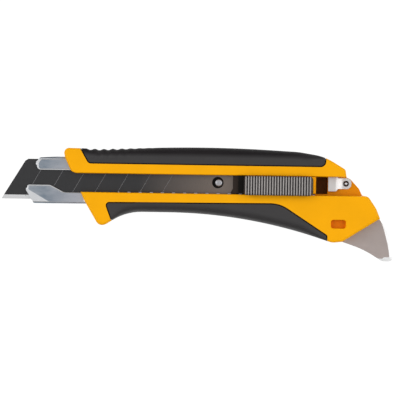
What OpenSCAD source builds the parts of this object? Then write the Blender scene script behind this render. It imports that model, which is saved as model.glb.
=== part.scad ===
/* [Blade] */
// Width of the snap-off blade
blade_w = 18; // [17.8:0.1:18.2]
// Thickness of the blade
blade_t = 0.5; // [0.4:0.05:0.5]
// Length from the tip to the blade's rear end
blade_len = 103.9; // [100:0.1:104]
// Distance between two snap lines
snap_pitch = 10; // [9:0.5:10.5]
// Number of snap lines
snap_count = 7; // [4:1:7]
// Angle of the snap lines to the edge
snap_angle = 60; // [58:1:62]
// Angle of the tip to the edge
tip_angle = 58.5; // [57.5:0.5:60]

/* [Handle] */
// Thickness of the handle, from the flat back to the front face
handle_t = 16; // [15.8:0.1:17]
// Thickness of the rubber grips over the hard core
rubber_t = 1.8; // [1.5:0.1:2]
// Rounding of the hard edges at the nose and tail
hard_edge_r = 1.2; // [0.8:0.1:1.6]
// Rounding of the rubber along the spine and belly
soft_edge_r = 4.2; // [3:0.1:4.6]

/* [Slide] */
// How far the slide goes forward from the pose as drawn
travel_out = 60; // [40:5:60]
// How far the slide goes back from the pose as drawn
travel_in = 15; // [5:5:15]
// Free play of the thumb button on the slide, each way
thumb_play = 1.2; // [0.8:0.1:1.2]
// Number of ribs on the thumb pad
rib_count = 25; // [20:1:25]

/* [Metal pick] */
// Thickness of the pick plate
pick_t = 2.4; // [2:0.1:2.8]
// Width of the ground bevel along the pick's outer edge
pick_bevel = 2; // [1.4:0.1:2.2]

/* [Hidden] */
$fn = 32;
eps = 0.01;

// Stack of heights, from the flat back at Z = 0 to the front face
sheet_t = 0.8;                                // steel sheet of the channel and the carrier
floor_z = 9.9;                                // underside of the channel's floor
gap_z = 1.8;                                  // free height inside the channel
floor_top = floor_z + sheet_t;
flange_z = floor_top + gap_z;
flange_top = flange_z + sheet_t;
plate_z = floor_top + 0.1;                    // underside of the carrier plate
plate_top = plate_z + sheet_t;
blade_z = plate_top + 0.1;                    // underside of the blade
blade_top = blade_z + blade_t;
lip_z = flange_top + 0.1;                     // underside of the handle's lips
recess_z = floor_z + 0.2;                     // floor of the open recess in the tail
thumb_z = handle_t + 0.3;                     // underside of the thumb button
pad_z = thumb_z + 1.9;
pad_top = pad_z + 2.4;

// Plan positions. X runs to the tail, Y to the spine, and Y = 0 is the blade's centreline
tip_x = -87.3;
blade_back_x = tip_x + blade_len;
edge_bevel = 1.8;                             // ground strip along the cutting edge
edge_flat = 0.04;                             // thickness left at the cutting edge
tip_chamfer = [1.35, 0.85];                   // cut corners of the blade, along X and Y
rear_chamfer = [3.4, 6];
groove_w = 0.24;
groove_depth = 0.12;
hole_pos = [9.8, -0.4];
hole_r = 2.57;
stud_pos = [10.25, -0.5];
stud_r = 1.65;
slot_top = 3.0;
slot_bottom = -5.65;
wall_top = 10.2;                              // outer faces of the channel's side walls
wall_bottom = -10.9;
channel_back_x = 53.5;
channel_rivet_x = [-46, 47];
channel_rivet_z = 6.5;                        // lower end of the rivets in the handle
channel_rivet_r = 1.2;
upper_flange_y = 4.1;                         // inner edge of the upper flange
jaw_flange_y = -5.8;                          // inner edge of the lower flange in front of the teeth
jaw_lip_y = -2.55;                            // and its wide end at the nose
pocket_back_x = 59.2;                         // the deep pocket under the release clip
pocket_y = [-4.8, 3];
pocket_z = 2.2;
teeth_y = -5.1;
notch_y = -6.6;
notch_pitch = 5;
notch_first_x = 27.5 - travel_out;
notch_last_x = 27.5 + travel_in;
ear_x = 27.5;
core_front_x = 23.2;
core_back_x = 53.8;
core_y = [-4.7, 2.7];                         // width of the moulded core in the slot
core_rivet_x = [25.1, 42.75];
core_rivet_y = -0.3;
core_rivet_r = 0.9;
core_rivet_head_r = 1.35;
core_rivet_z = 14.6;                          // underside of the rivets' heads
plate_shoulder_x = 20.5;
plate_back_x = 44.2;
leaf_t = 0.4;                                 // the lock spring
spring_window_x = [24, 36];
spring_rivet_pos = [41.4, -7.2];
spring_rivet_r = 0.7;
pocket = [27.1, 41.3];                        // the core's pocket, and the button's stem in it
stem = [31.2, 37.2];
stem_mid_x = (stem[0] + stem[1]) / 2;
stem_y = [-2.1, 1.5];
pin_z = 14.2;
pin_r = 0.6;
pin_y = [-4.5, 2.5];
thumb_x = [21.4, 52.4];
thumb_y = [-5.9, 2.9];
skirt_x = 19;                                 // front of the button's skirt
skirt_y = [-4.6, 2.7];
shoe_inset = 0.35;                            // how far the shoe stays inside the pad's outline
cam_y = [-4.6, -3.3];
rib_pitch = 1.2;
clip_x = [59.45, 69.9];
clip_rivet_x = 67.5;
clip_rivet_z = 6;                             // lower end of the clip's rivet in the handle
clip_rivet_r = 0.8;
clip_t = 0.5;
clip_rise = 1.0;                              // height of the clip's head over its foot
clip_head_y = 3.6;                            // half widths of the clip's head and foot
clip_foot_y = 2.45;
window = [64.1, -18.25];
window_size = [6.7, 3.8];
window_r = 1.1;
plug_depth = 2.6;
pick_mid_z = 8;
pick_edge_t = 0.5;                            // thickness left at the pick's bevelled edge
bevel_x = [82.8, 86.5];                       // where the bevel starts and where it has its full width
scallop_first = [-45.6, 13.57];               // lowest point of the first scallop in the spine
scallop_pitch = 4;
scallop_rise = 0.085;                         // how much higher each next scallop is
scallop_count = 8;
scallop_r = 3.2;

handle_yellow = [0.98, 0.67, 0.02];
rubber_black = [0.16, 0.15, 0.16];
steel = [0.72, 0.74, 0.77];
dark_steel = [0.5, 0.48, 0.47];
blade_black = [0.2, 0.2, 0.2];
button_grey = [0.3, 0.3, 0.31];

// ---- Outlines -------------------------------------------------------------

// One corner [x, y, r] of a path, as the points of its arc, or the corner itself where r is 0
function corner(a, b, c, steps) =
    let (r = len(b) > 2 ? b[2] : 0)
    r == 0 ? [[b[0], b[1]]] :
    let (
        p = [b[0], b[1]],
        u = [a[0] - b[0], a[1] - b[1]] / norm([a[0] - b[0], a[1] - b[1]]),
        v = [c[0] - b[0], c[1] - b[1]] / norm([c[0] - b[0], c[1] - b[1]]),
        half = acos(max(-1, min(1, u * v))) / 2,
        middle = p + (u + v) / norm(u + v) * r / sin(half),
        from = p + u * r / tan(half) - middle,
        turn = cross(u, v) > 0 ? -1 : 1,
        sweep = turn * (180 - 2 * half)
    )
    [for (i = [0:steps]) middle + rotated(from, sweep * i / steps)];

function rotated(p, angle) =
    [p[0] * cos(angle) - p[1] * sin(angle), p[0] * sin(angle) + p[1] * cos(angle)];

// A closed outline from corners [x, y, r], with each arc in the given number of steps
function rounded(corners, steps = 5) =
    let (n = len(corners))
    [for (i = [0:n - 1])
        each corner(corners[(i + n - 1) % n], corners[i], corners[(i + 1) % n], steps)];

// Inward unit normal at each point of an outline that runs clockwise, scaled so that both sides move by 1
function inward(outline) =
    let (n = len(outline))
    [for (i = [0:n - 1])
        let (
            a = outline[(i + n - 1) % n],
            b = outline[i],
            c = outline[(i + 1) % n],
            u = (b - a) / norm(b - a),
            v = (c - b) / norm(c - b),
            m = [u[1] + v[1], -u[0] - v[0]] / norm(u + v)
        )
        m / max(0.5, m * [u[1], -u[0]])];

function ramp(x, from, to) = max(0, min(1, (x - from) / (to - from)));

// A solid between equal rings of points, with flat ends. resize() changes no size here: it splits the
// concave ends into triangles
module rings(list) {
    n = len(list[0]);
    last = len(list) - 1;
    resize([0, 0, 0])
        polyhedron(
            points = [for (ring = list) each ring],
            faces = concat(
                [[for (i = [0:n - 1]) i]],
                [for (k = [0:last - 1], i = [0:n - 1])
                    each [[k * n + i, (k + 1) * n + i, k * n + (i + 1) % n],
                          [k * n + (i + 1) % n, (k + 1) * n + i, (k + 1) * n + (i + 1) % n]]],
                [[for (i = [n - 1:-1:0]) last * n + i]]
            )
        );
}

// Side view of the whole handle, clockwise from the top of the nose
handle_outline = rounded([
    [-59.8, 14.2, 2.2],
    [-43, 13.9],
    [8, 15.75, 600],
    [46, 13.9],
    [57.5, 12, 24],
    [67, 6.3, 1.8],
    [67.5, 2.9],
    [69.4, 2.1, 1.8],
    [73.4, -2.2, 3],
    [74.8, -5.2],
    [77.4, -5.7, 3],
    [81, -11, 12],
    [82.8, -15.5],
    [66, -26.1],
    [61.4, -26.6, 6],
    [23, -14.1, 222],
    [-31.5, -14.1, 25],
    [-42.85, -21.5, 3],
    [-50, -9.3, 15],
    [-58.8, 9.5, 8]
]);

// Areas that the two rubber grips cover, open past the handle's outline
upper_area = rounded([[-54.5, 18], [58.4, 18], [58.2, 7.2, 2.6], [-48.4, 7.2, 2.2]]);
lower_area = rounded([
    [-41, -9.85, 1.6], [37.7, -9.25, 14], [59.3, -23.3, 1.2], [59.2, -30], [-33.5, -30]
]);

// Hard core below a grip: the handle's spine or belly moved in by the rubber's thickness
function core_edge(from_x, to_x, side) =
    let (m = inward(handle_outline))
    [for (i = [0:len(handle_outline) - 1])
        let (p = handle_outline[i])
        if (p[0] > from_x && p[0] < to_x && p[1] * side > 8) p + m[i] * rubber_t];

upper_core = concat(
    [[-60, 0], [-60, 14.1 - rubber_t]],
    core_edge(-51, 66, 1),
    [[70, 6 - rubber_t], [70, 0]]
);
lower_core = concat(
    [[70, 0], [70, rubber_t - 26]],
    core_edge(-36, 60, -1),
    [[-45, rubber_t - 18], [-45, 0]]
);

// Rounding of the handle's edge at a point of its outline: larger where rubber covers it
function edge_r(p) =
    let (
        soft = p[1] > 5
            ? ramp(p[0], -52, -44) * (1 - ramp(p[0], 48, 58))
            : (p[1] < -12 ? ramp(p[0], -40, -30) * (1 - ramp(p[0], 46, 58)) : 0)
    )
    hard_edge_r + (soft_edge_r - hard_edge_r) * soft;

// How far the rounded edge has pulled in at a depth below the face
function edge_inset(r, depth) = depth >= r ? 0 : r - sqrt(r * r - (r - depth) * (r - depth));

// The handle is a stack of slabs. Each one starts deeper below the face, and is wider, than the one before
slab_depths = [0, 0.3, 0.8, 1.6, 2.8];

function slab_outline(k) =
    let (
        m = inward(handle_outline),
        depth = k == len(slab_depths) - 1 ? handle_t : (slab_depths[k] + slab_depths[k + 1]) / 2
    )
    [for (i = [0:len(handle_outline) - 1])
        let (p = handle_outline[i])
        p + m[i] * edge_inset(edge_r(p), depth)];

module between_faces(depth) translate([0, 0, depth]) linear_extrude(handle_t - 2 * depth) children();

// Every slab's outline, cut by the children
module slabs_without()
    for (k = [0:len(slab_depths) - 1])
        between_faces(slab_depths[k])
            difference() {
                polygon(slab_outline(k));
                children();
            }

// Every slab's outline inside an area, hollowed out for the hard core below it
module slabs_over_core(area, core)
    difference() {
        for (k = [0:len(slab_depths) - 1])
            between_faces(slab_depths[k])
                intersection() {
                    polygon(slab_outline(k));
                    polygon(area);
                }
        between_faces(rubber_t) polygon(core);
    }

module core_under(area, core)
    between_faces(rubber_t)
        intersection() {
            polygon(area);
            polygon(core);
        }

module box(x, y, z)
    translate([x[0], y[0], z[0]])
        cube([x[1] - x[0], y[1] - y[0], z[1] - z[0]]);

// A flat shape swept along X, or along Y towards the spine
module along_x(x) translate([x[0], 0, 0]) rotate([90, 0, 90]) linear_extrude(x[1] - x[0]) children();

module along_y(y) translate([0, y[1], 0]) rotate([90, 0, 0]) linear_extrude(y[1] - y[0]) children();

// ---- Handle ---------------------------------------------------------------

// The slot in the front face, which opens round a curve at the nose
module slot()
    translate([0, 0, lip_z - eps])
        linear_extrude(handle_t - lip_z + 1)
            polygon(rounded([
                [-75, slot_bottom], [-75, 9.8], [-58.7, 9.8],
                [-56, slot_top, 4], [90, slot_top], [90, slot_bottom]
            ]));

// Deep pocket that the head of the release clip is pressed down into
module clip_pocket() box([channel_back_x - eps, pocket_back_x], pocket_y, [pocket_z, lip_z]);

// The flat way for the channel, the slide and the blade, open at both ends
module slide_way() {
    box([-70, channel_back_x], [wall_bottom, wall_top], [floor_z, lip_z]);
    box([channel_back_x - eps, 90], [wall_bottom, wall_top], [recess_z, lip_z]);
}

module window_shape(z)
    translate([0, 0, z[0]])
        linear_extrude(z[1] - z[0])
            translate(window)
                polygon(rounded([for (s = [[-1, 1], [1, 1], [1, -1], [-1, -1]])
                    [s[0] * window_size[0] / 2, s[1] * window_size[1] / 2, window_r]], 4));

module handle_body()
    color(handle_yellow)
        difference() {
            union() {
                slabs_without() {
                    polygon(upper_area);
                    polygon(lower_area);
                }
                core_under(upper_area, upper_core);
                core_under(lower_area, lower_core);
            }
            slide_way();
            clip_pocket();
            slot();
            window_shape([-1, handle_t + 1]);
            pick_plate_space();
            for (x = channel_rivet_x)
                translate([x, 0, channel_rivet_z]) cylinder(r = channel_rivet_r, h = 20);
            translate([clip_rivet_x, 0, clip_rivet_z]) cylinder(r = clip_rivet_r, h = 20);
        }

module upper_grip()
    color(rubber_black)
        difference() {
            slabs_over_core(upper_area, upper_core);
            spine_scallops();
        }

// Shallow hollows across the spine behind the nose, each shallower than the one before
module spine_scallops()
    for (i = [0:scallop_count - 1])
        translate([scallop_first[0] + scallop_pitch * i, scallop_first[1] + scallop_rise * i + scallop_r, -1])
            cylinder(r = scallop_r, h = handle_t + 2);

module lower_grip()
    color(rubber_black)
        slabs_over_core(lower_area, lower_core);

// ---- Blade channel --------------------------------------------------------

// Cross-section of the channel in Y and Z, an open C with folded-over flanges
module channel_section()
    polygon(rounded([
        [wall_bottom, floor_z, 1.2], [wall_bottom, flange_top, 1.2],
        [wall_top, flange_top, 1.2], [wall_top, floor_z, 1.2]
    ], 5));

module channel_hollow_section()
    polygon(rounded([
        [wall_bottom + sheet_t, floor_top, 0.4], [wall_bottom + sheet_t, flange_z, 0.4],
        [wall_top - sheet_t, flange_z, 0.4], [wall_top - sheet_t, floor_top, 0.4]
    ], 4));

// Plan of the channel's front end: the jaws above and below the blade
channel_plan = rounded([
    [-70.2, 9.7, 1.2], [-60, 10.4], [channel_back_x, 10.4], [channel_back_x, -11.1],
    [-72.6, -11.1, 1.4], [-76.4, -5, 1.6], [-75.9, -2, 0.5], [-72, 3, 0.5], [-72, 7.6, 1]
], 4);

// Plan of the opening between the flanges, with the lower jaw's wide end
flange_opening = rounded([
    [-80, 6.2], [-71.5, 6.2], [-71.5, upper_flange_y, 1.6], [channel_back_x + 1, upper_flange_y],
    [channel_back_x + 1, teeth_y], [notch_first_x - 2.5, teeth_y], [notch_first_x - 2.5, jaw_flange_y],
    [-59.3, jaw_flange_y, 4], [-65.4, jaw_lip_y, 4], [-75.8, jaw_lip_y, 1], [-75.8, -4], [-80, -4]
], 5);

module lock_notches()
    for (x = [notch_first_x:notch_pitch:notch_last_x])
        translate([0, 0, flange_z - eps])
            linear_extrude(sheet_t + 1)
                polygon([[x - 1.9, teeth_y + 1], [x - 1.9, teeth_y], [x - 1.3, notch_y],
                         [x + 1.3, notch_y], [x + 1.9, teeth_y], [x + 1.9, teeth_y + 1]]);

module channel_shell()
    difference() {
        intersection() {
            along_x([-78, channel_back_x]) channel_section();
            translate([0, 0, floor_z - 1]) linear_extrude(6) polygon(channel_plan);
        }
        along_x([-79, channel_back_x + 1]) channel_hollow_section();
        translate([0, 0, flange_z - eps]) linear_extrude(3) polygon(flange_opening);
        lock_notches();
        for (x = channel_rivet_x) translate([x, 0, floor_z - 1]) cylinder(r = channel_rivet_r, h = 3);
    }

// Two bumps in the channel's floor, where the carrier plate's shoulders stop at full extension
module front_stops() {
    stop_x = plate_shoulder_x - travel_out - 0.2;
    for (y = [[-8.4, -6.2], [6, 8.2]])
        box([stop_x - 2.5, stop_x], y, [floor_top - eps, plate_top - 0.1]);
}

module blade_channel()
    color(steel) {
        channel_shell();
        front_stops();
    }

// Two flush rivets that hold the channel's floor down in the handle
module channel_rivets()
    color(dark_steel)
        for (x = channel_rivet_x)
            translate([x, 0, channel_rivet_z]) cylinder(r = channel_rivet_r, h = floor_top - channel_rivet_z);

// ---- Metal pick -----------------------------------------------------------

// The exposed pick and its tang inside the handle, clockwise from the top of the joint line
pick_outline = rounded([
    [58.5, -19.5, 2], [61, -13.4, 2], [78.6, -13.4, 1.2], [82.8, -15.5], [88.6, -24.5, 25],
    [89.7, -34.75, 2.2], [84.3, -34.7, 2.5], [76.5, -29.7, 40], [66, -26.1], [61.5, -24.6, 2]
], 6);

// The bevel runs only round the outer end of the pick. It starts at the joint with the handle and widens
function bevel_at(p) = pick_bevel * ramp(p[0], bevel_x[0], bevel_x[1]);

// Half of the pick's thickness at its outline, next to a bevel of the given width
function edge_half(bevel) = pick_t / 2 - 2 * eps - (pick_t - pick_edge_t) / 2 * bevel / pick_bevel;

module metal_pick()
    color(steel)
        difference() {
            let (m = inward(pick_outline))
                rings([for (level = [[1, -1], [0, -1], [0, 1], [1, 1]])
                    [for (i = [0:len(pick_outline) - 1])
                        let (
                            by = bevel_at(pick_outline[i]),
                            half = level[0] == 1 ? pick_t / 2 : edge_half(by),
                            p = pick_outline[i] + m[i] * by * level[0]
                        )
                        [p[0], p[1], pick_mid_z + level[1] * half]]]);
            window_shape([0, handle_t]);
        }

module pick_plate_space()
    translate([0, 0, pick_mid_z - pick_t / 2]) linear_extrude(pick_t) polygon(pick_outline);

// Key that locks the pick's tang into the handle, recessed on both faces
module pick_plug()
    color(handle_yellow) window_shape([plug_depth, handle_t - plug_depth]);

// ---- Release clip in the tail ---------------------------------------------

// A leaf with a raised T-shaped head that stops the slide from leaving the tail
module release_clip()
    color(steel)
        difference() {
            intersection() {
                along_y([-10, 10])
                    translate([0, recess_z])
                        polygon([
                            [clip_x[0], clip_rise], [62.6, clip_rise], [65.3, 0], [clip_x[1], 0],
                            [clip_x[1], clip_t], [65.45, clip_t], [62.75, clip_rise + clip_t],
                            [clip_x[0], clip_rise + clip_t]
                        ]);
                translate([0, 0, recess_z - 1])
                    linear_extrude(4)
                        polygon(rounded([
                            [clip_x[0], clip_head_y, 0.4], [62.9, clip_head_y, 0.5],
                            [64, clip_foot_y], [clip_x[1], clip_foot_y, 1.9],
                            [clip_x[1], -clip_foot_y, 1.9], [64, -clip_foot_y],
                            [62.9, -clip_head_y, 0.5], [clip_x[0], -clip_head_y, 0.4]
                        ], 5));
            }
            translate([clip_rivet_x, 0, recess_z - 1]) cylinder(r = clip_rivet_r + 0.05, h = 4);
        }

// Rivet through the clip's foot, with a ring sunk in its head
module clip_rivet() {
    head_r = 1.3;
    head_t = 0.4;
    ring_r = [0.6, 1];
    ring_depth = 0.25;
    color(steel)
        translate([clip_rivet_x, 0, 0]) {
            translate([0, 0, clip_rivet_z]) cylinder(r = clip_rivet_r, h = recess_z + clip_t - clip_rivet_z);
            translate([0, 0, recess_z + clip_t])
                difference() {
                    cylinder(r = head_r, h = head_t);
                    translate([0, 0, head_t - ring_depth])
                        difference() {
                            cylinder(r = ring_r[1], h = 1);
                            cylinder(r = ring_r[0], h = 1);
                        }
                }
        }
}

// ---- Blade and slide ------------------------------------------------------

slant = 1 / tan(snap_angle);

module snap_off_blade() {
    half = blade_w / 2;
    tip_top_x = tip_x + (blade_w - tip_chamfer[1]) / tan(tip_angle);
    line_end = [slant * (blade_w + 1), blade_w + 1];
    color(blade_black)
        difference() {
            intersection() {
                along_x([tip_x - 1, blade_back_x + 1])
                    translate([0, blade_z + blade_t / 2])
                        polygon([
                            [half, blade_t / 2], [half, -blade_t / 2], [edge_bevel - half, -blade_t / 2],
                            [-half, -edge_flat / 2], [-half, edge_flat / 2], [edge_bevel - half, blade_t / 2]
                        ]);
                translate([0, 0, blade_z - 1])
                    linear_extrude(3)
                        polygon([
                            [tip_x, -half], [tip_top_x, half - tip_chamfer[1]],
                            [tip_top_x + tip_chamfer[0], half], [blade_back_x - rear_chamfer[0], half],
                            [blade_back_x, half - rear_chamfer[1]], [blade_back_x, rear_chamfer[1] - half],
                            [blade_back_x - rear_chamfer[0], -half]
                        ]);
            }
            for (i = [1:snap_count])
                translate([tip_x + i * snap_pitch - groove_w / 2, -half, blade_top - groove_depth])
                    linear_extrude(1)
                        polygon([[-slant, -1], [groove_w - slant, -1], line_end + [groove_w, 0], line_end]);
            translate([hole_pos[0], hole_pos[1], blade_z - 1]) cylinder(r = hole_r, h = 3);
        }
}

// Steel plate that runs in the channel, with a tongue under the blade
module carrier_plate()
    color(dark_steel)
        difference() {
            translate([0, 0, plate_z])
                linear_extrude(sheet_t)
                    polygon(rounded([
                        [3, 4.5, 2], [18.9, 4.5, 0.6], [plate_shoulder_x, 5.6, 0.6],
                        [plate_shoulder_x, 9.1, 0.6], [plate_back_x, 9.1, 1],
                        [plate_back_x, -9.8, 1], [plate_shoulder_x, -9.8, 0.6],
                        [plate_shoulder_x, -5.8, 0.6], [18.9, -5, 0.6], [3, -5, 2]
                    ]));
            box(spring_window_x, [-9, -3.1], [plate_z - 1, plate_top + 1]);
            for (x = core_rivet_x)
                translate([x, core_rivet_y, plate_z - 1]) cylinder(r = core_rivet_r, h = 3);
            translate([hole_pos[0], hole_pos[1], plate_z - 1]) cylinder(r = hole_r, h = 3);
            translate([spring_rivet_pos[0], spring_rivet_pos[1], plate_z - 1])
                cylinder(r = spring_rivet_r, h = 3);
        }

// Stud that the blade's hole drops over, on a thin flange pressed into the plate
module blade_stud() {
    flange_t = 0.3;
    straight = 2.1;
    crown = 0.3;
    crown_r = 1.2;
    color(steel) {
        translate([hole_pos[0], hole_pos[1], plate_z]) cylinder(r = hole_r, h = flange_t);
        translate([stud_pos[0], stud_pos[1], plate_z]) {
            cylinder(r = stud_r, h = straight);
            translate([0, 0, straight]) cylinder(r1 = stud_r, r2 = crown_r, h = crown);
        }
    }
}

// Moulded block on the plate, which guides the thumb button and fills the slot
module slider_core()
    color(handle_yellow)
        difference() {
            union() {
                box([core_front_x, 44], [-3, 2.6], [plate_top, 13.7]);
                box([core_front_x, core_back_x - 0.8], core_y, [13.6, 15.8]);
                box([43.8, core_back_x], core_y, [12.3, 15]);
            }
            box(pocket, [stem_y[0] - 0.15, stem_y[1] + 0.15], [12.5, 17]);
            box([24.3, 30.7], [-6, -2.9], [plate_top - 1, 17]);
            hull()
                for (x = [-1, 1])
                    translate([stem_mid_x + x * (thumb_play + 0.1), 0, pin_z])
                        rotate([90, 0, 0])
                            cylinder(r = pin_r + 0.05, h = 10, center = true);
            for (x = core_rivet_x)
                translate([x, core_rivet_y, 0]) {
                    translate([0, 0, plate_top - 1]) cylinder(r = core_rivet_r, h = 6);
                    translate([0, 0, core_rivet_z]) cylinder(r = core_rivet_head_r, h = 3);
                }
        }

module core_rivets()
    color(steel)
        for (x = core_rivet_x)
            translate([x, core_rivet_y, plate_z]) {
                cylinder(r = core_rivet_r, h = core_rivet_z - plate_z);
                translate([0, 0, core_rivet_z - plate_z]) cylinder(r = core_rivet_head_r, h = 0.5);
            }

// Leaf with an ear that sits up in a lock notch. A cam on the thumb button pushes it down by its two ramps
module lock_spring() {
    low = plate_top;
    high = flange_z - 0.05 - leaf_t;
    leaf_x = [24.6, 43.8];
    color(dark_steel)
        difference() {
            union() {
                intersection() {
                    along_y([-10, 0])
                        polygon([
                            [leaf_x[0], high], [30.5, high], [36.4, low], [leaf_x[1], low],
                            [leaf_x[1], low + leaf_t], [36.5, low + leaf_t],
                            [30.6, high + leaf_t], [leaf_x[0], high + leaf_t]
                        ]);
                    translate([0, 0, low - 1])
                        linear_extrude(4)
                            polygon([
                                [leaf_x[0], -3.2], [30.2, -3.2], [30.2, -5.4], [32, -5.7],
                                [leaf_x[1], -5.7], [leaf_x[1], -8.7], [leaf_x[0], -8.7]
                            ]);
                }
                box([ear_x - 0.9, ear_x + 0.9], [-6.3, -5.3], [high + leaf_t - eps, flange_top - 0.1]);
                for (s = [-1, 1])
                    along_y([-4.7, -3.3])
                        translate([ear_x, high + leaf_t - eps])
                            polygon([[s * 0.5, 0], [s * 1.6, 1], [s * 1.9, 1], [s * 1.9, 0]]);
            }
            translate([spring_rivet_pos[0], spring_rivet_pos[1], low - 1])
                cylinder(r = spring_rivet_r, h = 3);
        }
}

module lock_spring_rivet()
    color(steel)
        translate([spring_rivet_pos[0], spring_rivet_pos[1], plate_z]) {
            cylinder(r = spring_rivet_r, h = sheet_t + leaf_t);
            translate([0, 0, sheet_t + leaf_t]) cylinder(r = 1.2, h = 0.35);
        }

// ---- Thumb button ---------------------------------------------------------

module thumb_plan(by)
    polygon(rounded([
        [thumb_x[0] + by, thumb_y[1] - by, 0.9], [thumb_x[1] - by, thumb_y[1] - by, 1.5],
        [thumb_x[1] - by, thumb_y[0] + by, 1.5], [thumb_x[0] + by, thumb_y[0] + by, 1.5]
    ], 5));

// Hard shoe of the button, with its stem in the core and its cam over the lock spring
module thumb_button()
    color(button_grey)
        difference() {
            union() {
                translate([0, 0, thumb_z]) linear_extrude(pad_z - thumb_z) thumb_plan(shoe_inset);
                box(stem, stem_y, [12.8, thumb_z + 0.5]);
                box([skirt_x, core_front_x - thumb_play - 0.1], skirt_y, [blade_top + 0.4, thumb_z + 0.5]);
                along_y(cam_y)
                    translate([ear_x, 0])
                        polygon([
                            [-0.3, flange_z + 0.05], [0.3, flange_z + 0.05], [1.5, flange_z + 1.3],
                            [1.5, thumb_z + 0.5], [-1.5, thumb_z + 0.5], [-1.5, flange_z + 1.3]
                        ]);
            }
            translate([stem_mid_x, 0, pin_z]) rotate([90, 0, 0]) cylinder(r = pin_r, h = 10, center = true);
        }

// Ribbed pad that covers the shoe
module thumb_pad() {
    first = thumb_x[0] + 0.9;
    valley = pad_top - 0.75;
    profile = concat(
        [[thumb_x[0], pad_z], [thumb_x[0], pad_top - 1.1], [thumb_x[0] + 0.4, valley]],
        [for (i = [0:rib_count - 1])
            let (x = first + i * rib_pitch)
            each [[x - 0.34, valley], [x - 0.2, pad_top], [x + 0.2, pad_top], [x + 0.34, valley]]],
        [[thumb_x[1] - 0.4, valley], [thumb_x[1], pad_top - 1.4], [thumb_x[1], pad_z]]
    );
    color(button_grey)
        intersection() {
            along_y([-20, 10]) polygon(profile);
            translate([0, 0, pad_z - 1]) linear_extrude(6) thumb_plan(0);
        }
}

// Cross pin that ties the stem to the core and lets it move along a short slot
module thumb_pin()
    color(steel)
        translate([stem_mid_x, pin_y[1], pin_z])
            rotate([90, 0, 0])
                cylinder(r = pin_r, h = pin_y[1] - pin_y[0]);

// Two small coil springs that centre the stem in the core's pocket. resize() changes no size: it splits
// their bent faces into triangles
module thumb_springs() {
    wire_r = 0.17;
    coil_r = 1.05;
    coil_y = -0.3;
    turns = 5;
    per_turn = 10;
    sides = 5;
    gap = 0.1;
    length = stem[0] - pocket[0] - 2 * (gap + wire_r);
    steps = turns * per_turn;
    color(steel)
        for (x0 = [pocket[0] + gap + wire_r, stem[1] + gap + wire_r])
            resize([0, 0, 0])
                polyhedron(
                    points = [for (i = [0:steps], j = [0:sides - 1])
                        let (
                            a = 360 * i / per_turn,
                            b = 360 * j / sides,
                            r = coil_r + wire_r * cos(b)
                        )
                        [x0 + length * i / steps + wire_r * sin(b), coil_y + r * cos(a), pin_z + r * sin(a)]],
                    faces = concat(
                        [[for (j = [0:sides - 1]) j]],
                        [for (i = [0:steps - 1], j = [0:sides - 1])
                            let (k = (j + 1) % sides)
                            [i * sides + j, (i + 1) * sides + j, (i + 1) * sides + k, i * sides + k]],
                        [[for (j = [sides - 1:-1:0]) steps * sides + j]]
                    )
                );
}

handle_body();
upper_grip();
lower_grip();
blade_channel();
channel_rivets();
metal_pick();
pick_plug();
release_clip();
clip_rivet();
snap_off_blade();
carrier_plate();
blade_stud();
slider_core();
core_rivets();
lock_spring();
lock_spring_rivet();
thumb_button();
thumb_pad();
thumb_pin();
thumb_springs();
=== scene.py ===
"""The looks of a snap off knife that lies on its flat back, with its floor, light and camera."""
import math

import bmesh
import bpy
import numpy as np
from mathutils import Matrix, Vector


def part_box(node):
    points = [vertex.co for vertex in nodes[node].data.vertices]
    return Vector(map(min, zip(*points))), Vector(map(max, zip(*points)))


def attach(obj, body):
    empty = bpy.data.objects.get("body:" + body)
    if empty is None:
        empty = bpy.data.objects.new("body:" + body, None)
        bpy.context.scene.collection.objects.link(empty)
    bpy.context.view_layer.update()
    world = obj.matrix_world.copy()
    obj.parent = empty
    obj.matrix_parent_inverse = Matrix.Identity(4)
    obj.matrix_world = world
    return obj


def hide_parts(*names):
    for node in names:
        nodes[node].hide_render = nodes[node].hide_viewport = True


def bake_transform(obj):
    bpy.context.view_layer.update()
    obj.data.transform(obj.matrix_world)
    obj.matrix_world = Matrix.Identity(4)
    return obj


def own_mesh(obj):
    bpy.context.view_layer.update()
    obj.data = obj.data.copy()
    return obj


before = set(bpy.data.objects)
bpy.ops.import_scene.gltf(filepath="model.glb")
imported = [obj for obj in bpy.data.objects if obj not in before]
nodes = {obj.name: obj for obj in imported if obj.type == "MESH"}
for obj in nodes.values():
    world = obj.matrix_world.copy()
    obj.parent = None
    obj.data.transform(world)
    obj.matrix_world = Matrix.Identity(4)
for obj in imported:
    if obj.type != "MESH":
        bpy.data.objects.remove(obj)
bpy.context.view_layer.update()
MM = 0.001


# ---- What the frame gives, in millimetres ---------------------------------


def span(node, axis):
    """Lowest and highest value of a CAD node along an axis, in millimetres."""
    low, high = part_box(node)
    return low[axis] / MM, high[axis] / MM


X, Y, Z = 0, 1, 2
HANDLE_T = span("handle_body", Z)[1]
CHANNEL_X, WALL, CHANNEL_Z = (span("blade_channel", a) for a in (X, Y, Z))
BLADE_X, BLADE_Y, BLADE_Z = (span("snap_off_blade", a) for a in (X, Y, Z))
PAD_X, PAD_Y, PAD_Z = (span("thumb_pad", a) for a in (X, Y, Z))
LEAF_X, LEAF_Y, LEAF_Z = (span("lock_spring", a) for a in (X, Y, Z))
CLIP_X, CLIP_Y, CLIP_Z = (span("release_clip", a) for a in (X, Y, Z))
SPRINGS_X = span("thumb_springs", X)
PICK_Z = span("metal_pick", Z)
STUD_Z = span("blade_stud", Z)
RIVET_Z = span("clip_rivet", Z)
PIN_Z = sum(span("thumb_pin", Z)) / 2

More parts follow.
